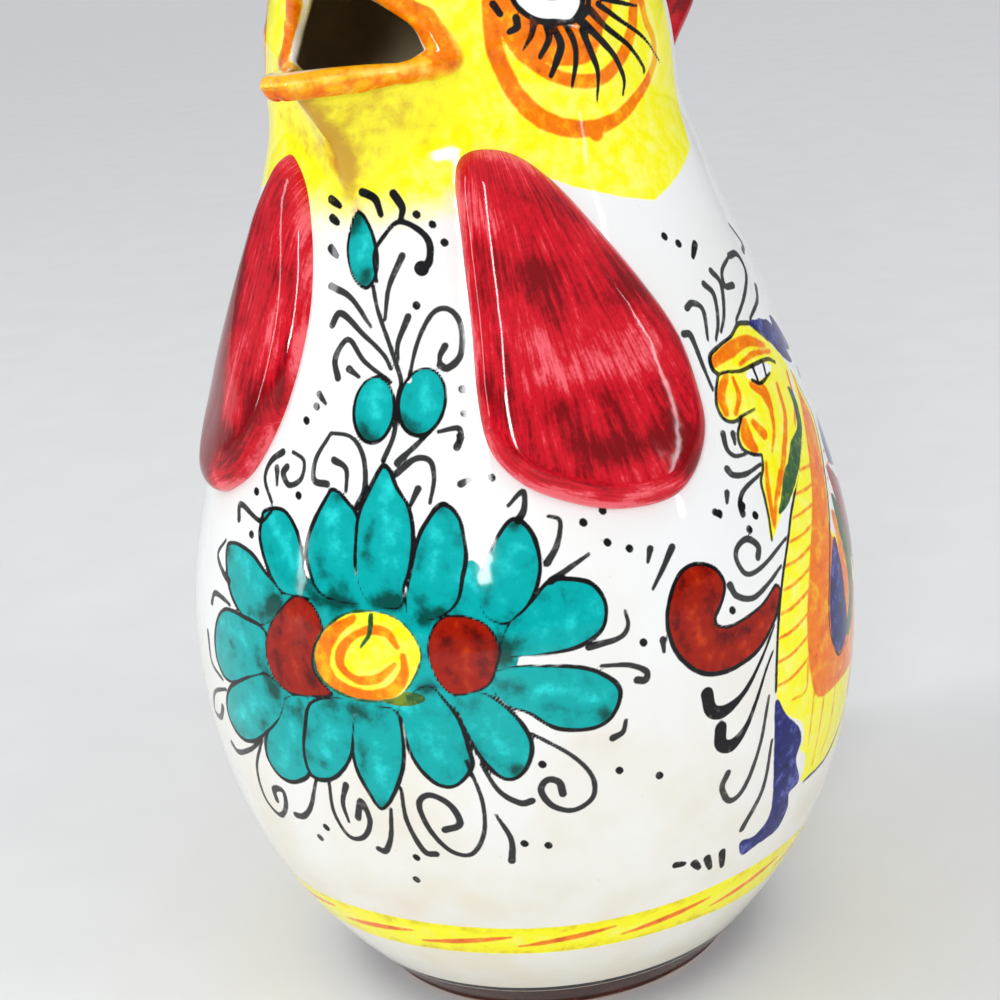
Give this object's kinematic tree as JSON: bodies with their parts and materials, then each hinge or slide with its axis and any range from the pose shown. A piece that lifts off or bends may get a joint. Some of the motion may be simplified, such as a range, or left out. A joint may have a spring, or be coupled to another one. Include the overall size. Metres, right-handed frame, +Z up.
{
  "type": "chicken pitcher",
  "caption": "Glazed earthenware pitcher in the form of a chicken: pear-shaped body, open beak as mouth and spout, comb, relief wattles, loop handle behind, painted flower.",
  "frame": {"origin": "centre of the foot's flat underside, on the standing plane", "axes": "+Z up along the turned axis; -Y is the way the beak points, so the handle is at +Y; +X is the chicken's left side"},
  "size_m": [0.14, 0.1714, 0.2618],
  "materials": {
    "white_glaze": "glossy white tin glaze with hand-painted flowers, scrolls and a side figure",
    "yellow_glaze": "glossy yellow brushed glaze that fades to white on the neck",
    "orange_glaze": "glossy orange brushed glaze",
    "crimson_glaze": "glossy crimson glaze with brush streaks",
    "brown_glaze": "brown glazed edge over bare clay"
  },
  "bodies": {
    "root": {"foot": "brown_glaze", "body": "white_glaze", "head": "yellow_glaze", "lower_beak": "yellow_glaze", "upper_beak": "orange_glaze", "comb": "crimson_glaze", "left_wattle": "crimson_glaze", "right_wattle": "crimson_glaze", "handle": "crimson_glaze"}
  },
  "joints": []
}
